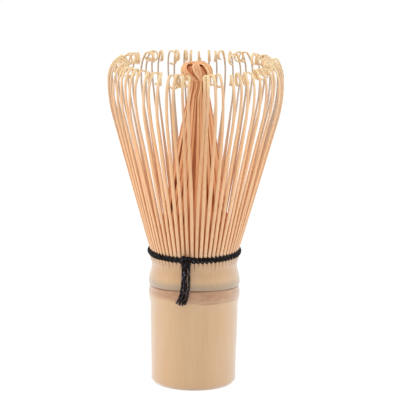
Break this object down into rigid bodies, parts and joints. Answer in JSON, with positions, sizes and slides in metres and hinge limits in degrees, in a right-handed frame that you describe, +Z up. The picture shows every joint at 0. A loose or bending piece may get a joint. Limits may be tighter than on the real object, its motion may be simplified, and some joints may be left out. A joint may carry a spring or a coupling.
{
  "type": "bamboo tea whisk",
  "caption": "Bamboo tea whisk: a hollow culm handle with a node ring, its upper part split into curled springy tines around a gathered inner bundle, bound with dark twined thread.",
  "frame": {"origin": "centre of the handle's foot, on the surface it stands on", "axes": "+Z up along the culm towards the tips of the tines, the thread's knot and hanging ends face -Y"},
  "size_m": [0.0564, 0.0564, 0.106],
  "materials": {
    "culm": "smooth scraped bamboo, satin",
    "outer_tine": "split bamboo, matte",
    "inner_tine": "split bamboo, matte",
    "thread": "dark twisted cotton thread"
  },
  "bodies": {
    "handle": {"handle": "culm", "binding_thread_upper": "thread", "binding_thread_lower": "thread", "thread_knot": "thread", "thread_tail_1": "thread", "thread_tail_2": "thread", "thread_tail_3": "thread", "thread_tail_4": "thread"},
    "outer_tines_01": {"outer_tines_01": "outer_tine"},
    "outer_tines_02": {"outer_tines_02": "outer_tine"},
    "outer_tines_03": {"outer_tines_03": "outer_tine"},
    "outer_tines_04": {"outer_tines_04": "outer_tine"},
    "outer_tines_05": {"outer_tines_05": "outer_tine"},
    "outer_tines_06": {"outer_tines_06": "outer_tine"},
    "outer_tines_07": {"outer_tines_07": "outer_tine"},
    "outer_tines_08": {"outer_tines_08": "outer_tine"},
    "outer_tines_09": {"outer_tines_09": "outer_tine"},
    "outer_tines_10": {"outer_tines_10": "outer_tine"},
    "outer_tines_11": {"outer_tines_11": "outer_tine"},
    "outer_tines_12": {"outer_tines_12": "outer_tine"},
    "outer_tines_13": {"outer_tines_13": "outer_tine"},
    "outer_tines_14": {"outer_tines_14": "outer_tine"},
    "outer_tines_15": {"outer_tines_15": "outer_tine"},
    "outer_tines_16": {"outer_tines_16": "outer_tine"},
    "inner_tines_01": {"inner_tines_01": "inner_tine"},
    "inner_tines_02": {"inner_tines_02": "inner_tine"},
    "inner_tines_03": {"inner_tines_03": "inner_tine"},
    "inner_tines_04": {"inner_tines_04": "inner_tine"},
    "inner_tines_05": {"inner_tines_05": "inner_tine"},
    "inner_tines_06": {"inner_tines_06": "inner_tine"},
    "inner_tines_07": {"inner_tines_07": "inner_tine"},
    "inner_tines_08": {"inner_tines_08": "inner_tine"},
    "inner_tines_09": {"inner_tines_09": "inner_tine"},
    "inner_tines_10": {"inner_tines_10": "inner_tine"},
    "inner_tines_11": {"inner_tines_11": "inner_tine"},
    "inner_tines_12": {"inner_tines_12": "inner_tine"},
    "inner_tines_13": {"inner_tines_13": "inner_tine"},
    "inner_tines_14": {"inner_tines_14": "inner_tine"},
    "inner_tines_15": {"inner_tines_15": "inner_tine"},
    "inner_tines_16": {"inner_tines_16": "inner_tine"}
  },
  "joints": [
    {"name": "outer_flex_01", "type": "hinge", "parent": "handle", "child": "outer_tines_01", "pos_m": [0.01373, 0.00273, 0.0445], "axis": [-0.1951, 0.9808, 0], "range_deg": [-3, 8], "stiffness_Nm_per_rad": 0.012},
    {"name": "outer_flex_02", "type": "hinge", "parent": "handle", "child": "outer_tines_02", "pos_m": [0.01164, 0.00778, 0.0445], "axis": [-0.5556, 0.8315, 0], "range_deg": [-3, 8], "stiffness_Nm_per_rad": 0.012},
    {"name": "outer_flex_03", "type": "hinge", "parent": "handle", "child": "outer_tines_03", "pos_m": [0.00778, 0.01164, 0.0445], "axis": [-0.8315, 0.5556, 0], "range_deg": [-3, 8], "stiffness_Nm_per_rad": 0.012},
    {"name": "outer_flex_04", "type": "hinge", "parent": "handle", "child": "outer_tines_04", "pos_m": [0.00273, 0.01373, 0.0445], "axis": [-0.9808, 0.1951, 0], "range_deg": [-3, 8], "stiffness_Nm_per_rad": 0.012},
    {"name": "outer_flex_05", "type": "hinge", "parent": "handle", "child": "outer_tines_05", "pos_m": [-0.00273, 0.01373, 0.0445], "axis": [-0.9808, -0.1951, 0], "range_deg": [-3, 8], "stiffness_Nm_per_rad": 0.012},
    {"name": "outer_flex_06", "type": "hinge", "parent": "handle", "child": "outer_tines_06", "pos_m": [-0.00778, 0.01164, 0.0445], "axis": [-0.8315, -0.5556, 0], "range_deg": [-3, 8], "stiffness_Nm_per_rad": 0.012},
    {"name": "outer_flex_07", "type": "hinge", "parent": "handle", "child": "outer_tines_07", "pos_m": [-0.01164, 0.00778, 0.0445], "axis": [-0.5556, -0.8315, 0], "range_deg": [-3, 8], "stiffness_Nm_per_rad": 0.012},
    {"name": "outer_flex_08", "type": "hinge", "parent": "handle", "child": "outer_tines_08", "pos_m": [-0.01373, 0.00273, 0.0445], "axis": [-0.1951, -0.9808, 0], "range_deg": [-3, 8], "stiffness_Nm_per_rad": 0.012},
    {"name": "outer_flex_09", "type": "hinge", "parent": "handle", "child": "outer_tines_09", "pos_m": [-0.01373, -0.00273, 0.0445], "axis": [0.1951, -0.9808, 0], "range_deg": [-3, 8], "stiffness_Nm_per_rad": 0.012},
    {"name": "outer_flex_10", "type": "hinge", "parent": "handle", "child": "outer_tines_10", "pos_m": [-0.01164, -0.00778, 0.0445], "axis": [0.5556, -0.8315, 0], "range_deg": [-3, 8], "stiffness_Nm_per_rad": 0.012},
    {"name": "outer_flex_11", "type": "hinge", "parent": "handle", "child": "outer_tines_11", "pos_m": [-0.00778, -0.01164, 0.0445], "axis": [0.8315, -0.5556, 0], "range_deg": [-3, 8], "stiffness_Nm_per_rad": 0.012},
    {"name": "outer_flex_12", "type": "hinge", "parent": "handle", "child": "outer_tines_12", "pos_m": [-0.00273, -0.01373, 0.0445], "axis": [0.9808, -0.1951, 0], "range_deg": [-3, 8], "stiffness_Nm_per_rad": 0.012},
    {"name": "outer_flex_13", "type": "hinge", "parent": "handle", "child": "outer_tines_13", "pos_m": [0.00273, -0.01373, 0.0445], "axis": [0.9808, 0.1951, 0], "range_deg": [-3, 8], "stiffness_Nm_per_rad": 0.012},
    {"name": "outer_flex_14", "type": "hinge", "parent": "handle", "child": "outer_tines_14", "pos_m": [0.00778, -0.01164, 0.0445], "axis": [0.8315, 0.5556, 0], "range_deg": [-3, 8], "stiffness_Nm_per_rad": 0.012},
    {"name": "outer_flex_15", "type": "hinge", "parent": "handle", "child": "outer_tines_15", "pos_m": [0.01164, -0.00778, 0.0445], "axis": [0.5556, 0.8315, 0], "range_deg": [-3, 8], "stiffness_Nm_per_rad": 0.012},
    {"name": "outer_flex_16", "type": "hinge", "parent": "handle", "child": "outer_tines_16", "pos_m": [0.01373, -0.00273, 0.0445], "axis": [0.1951, 0.9808, 0], "range_deg": [-3, 8], "stiffness_Nm_per_rad": 0.012},
    {"name": "inner_flex_01", "type": "hinge", "parent": "handle", "child": "inner_tines_01", "pos_m": [0.01158, 0.0029, 0.0445], "axis": [-0.243, 0.97, 0], "range_deg": [0, 4], "stiffness_Nm_per_rad": 0.004},
    {"name": "inner_flex_02", "type": "hinge", "parent": "handle", "child": "inner_tines_02", "pos_m": [0.00959, 0.00711, 0.0445], "axis": [-0.5957, 0.8032, 0], "range_deg": [0, 4], "stiffness_Nm_per_rad": 0.004},
    {"name": "inner_flex_03", "type": "hinge", "parent": "handle", "child": "inner_tines_03", "pos_m": [0.00614, 0.01024, 0.0445], "axis": [-0.8577, 0.5141, 0], "range_deg": [0, 4], "stiffness_Nm_per_rad": 0.004},
    {"name": "inner_flex_04", "type": "hinge", "parent": "handle", "child": "inner_tines_04", "pos_m": [0.00175, 0.01181, 0.0445], "axis": [-0.9892, 0.1467, 0], "range_deg": [0, 4], "stiffness_Nm_per_rad": 0.004},
    {"name": "inner_flex_05", "type": "hinge", "parent": "handle", "child": "inner_tines_05", "pos_m": [-0.0029, 0.01158, 0.0445], "axis": [-0.97, -0.243, 0], "range_deg": [0, 4], "stiffness_Nm_per_rad": 0.004},
    {"name": "inner_flex_06", "type": "hinge", "parent": "handle", "child": "inner_tines_06", "pos_m": [-0.00711, 0.00959, 0.0445], "axis": [-0.8032, -0.5957, 0], "range_deg": [0, 4], "stiffness_Nm_per_rad": 0.004},
    {"name": "inner_flex_07", "type": "hinge", "parent": "handle", "child": "inner_tines_07", "pos_m": [-0.01024, 0.00614, 0.0445], "axis": [-0.5141, -0.8577, 0], "range_deg": [0, 4], "stiffness_Nm_per_rad": 0.004},
    {"name": "inner_flex_08", "type": "hinge", "parent": "handle", "child": "inner_tines_08", "pos_m": [-0.01181, 0.00175, 0.0445], "axis": [-0.1467, -0.9892, 0], "range_deg": [0, 4], "stiffness_Nm_per_rad": 0.004},
    {"name": "inner_flex_09", "type": "hinge", "parent": "handle", "child": "inner_tines_09", "pos_m": [-0.01158, -0.0029, 0.0445], "axis": [0.243, -0.97, 0], "range_deg": [0, 4], "stiffness_Nm_per_rad": 0.004},
    {"name": "inner_flex_10", "type": "hinge", "parent": "handle", "child": "inner_tines_10", "pos_m": [-0.00959, -0.00711, 0.0445], "axis": [0.5957, -0.8032, 0], "range_deg": [0, 4], "stiffness_Nm_per_rad": 0.004},
    {"name": "inner_flex_11", "type": "hinge", "parent": "handle", "child": "inner_tines_11", "pos_m": [-0.00614, -0.01024, 0.0445], "axis": [0.8577, -0.5141, 0], "range_deg": [0, 4], "stiffness_Nm_per_rad": 0.004},
    {"name": "inner_flex_12", "type": "hinge", "parent": "handle", "child": "inner_tines_12", "pos_m": [-0.00175, -0.01181, 0.0445], "axis": [0.9892, -0.1467, 0], "range_deg": [0, 4], "stiffness_Nm_per_rad": 0.004},
    {"name": "inner_flex_13", "type": "hinge", "parent": "handle", "child": "inner_tines_13", "pos_m": [0.0029, -0.01158, 0.0445], "axis": [0.97, 0.243, 0], "range_deg": [0, 4], "stiffness_Nm_per_rad": 0.004},
    {"name": "inner_flex_14", "type": "hinge", "parent": "handle", "child": "inner_tines_14", "pos_m": [0.00711, -0.00959, 0.0445], "axis": [0.8032, 0.5957, 0], "range_deg": [0, 4], "stiffness_Nm_per_rad": 0.004},
    {"name": "inner_flex_15", "type": "hinge", "parent": "handle", "child": "inner_tines_15", "pos_m": [0.01024, -0.00614, 0.0445], "axis": [0.5141, 0.8577, 0], "range_deg": [0, 4], "stiffness_Nm_per_rad": 0.004},
    {"name": "inner_flex_16", "type": "hinge", "parent": "handle", "child": "inner_tines_16", "pos_m": [0.01181, -0.00175, 0.0445], "axis": [0.1467, 0.9892, 0], "range_deg": [0, 4], "stiffness_Nm_per_rad": 0.004}
  ]
}
